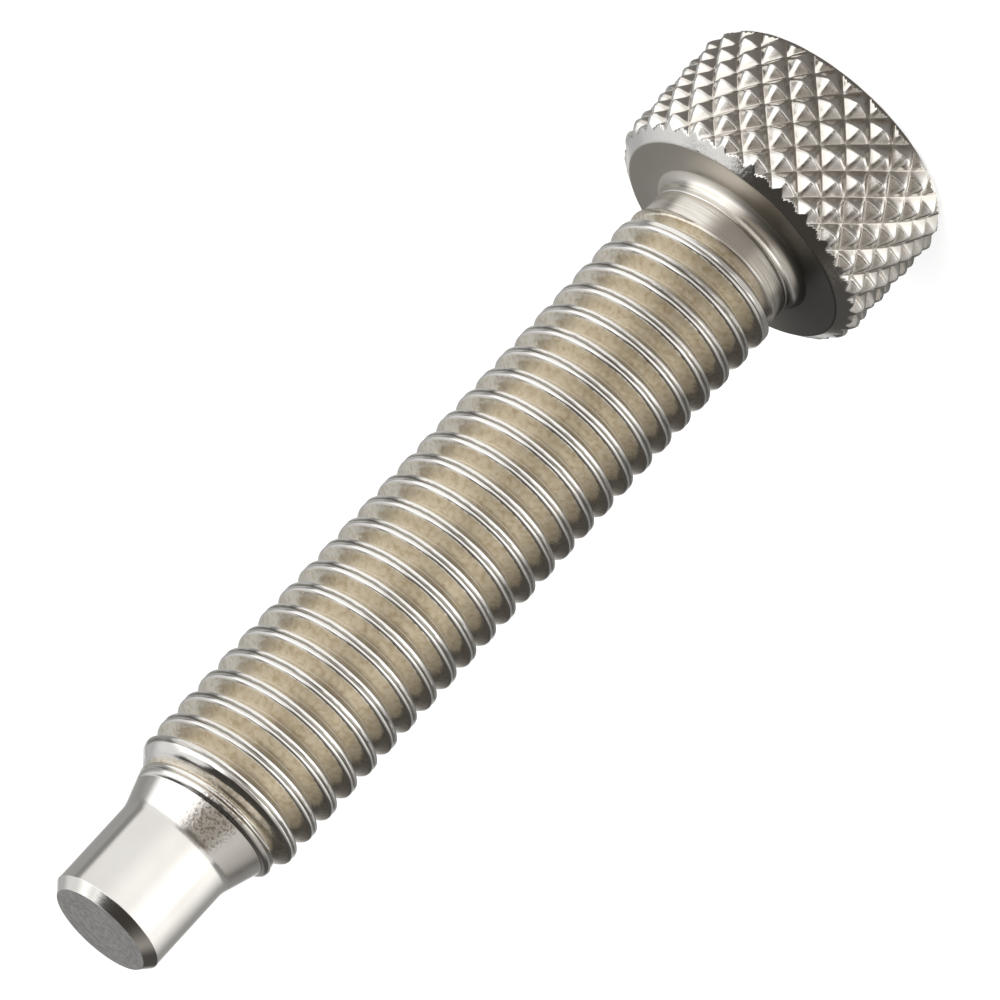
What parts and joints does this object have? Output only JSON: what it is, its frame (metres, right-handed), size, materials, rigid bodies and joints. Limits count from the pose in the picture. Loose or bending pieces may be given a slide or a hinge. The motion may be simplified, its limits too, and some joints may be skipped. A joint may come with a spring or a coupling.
{
  "type": "thumb screw",
  "caption": "Long metal thumb screw with a round diamond-knurled head, a full metric thread and a plain dog point.",
  "frame": {"origin": "middle of the head's flat top, on which the screw stands", "axes": "+Z along the screw's axis, from the head up to the dog point"},
  "size_m": [0.01, 0.01, 0.037],
  "materials": {
    "nickel_plate": "bright nickel plate on steel"
  },
  "bodies": {
    "root": {"screw": "nickel_plate"}
  },
  "joints": []
}
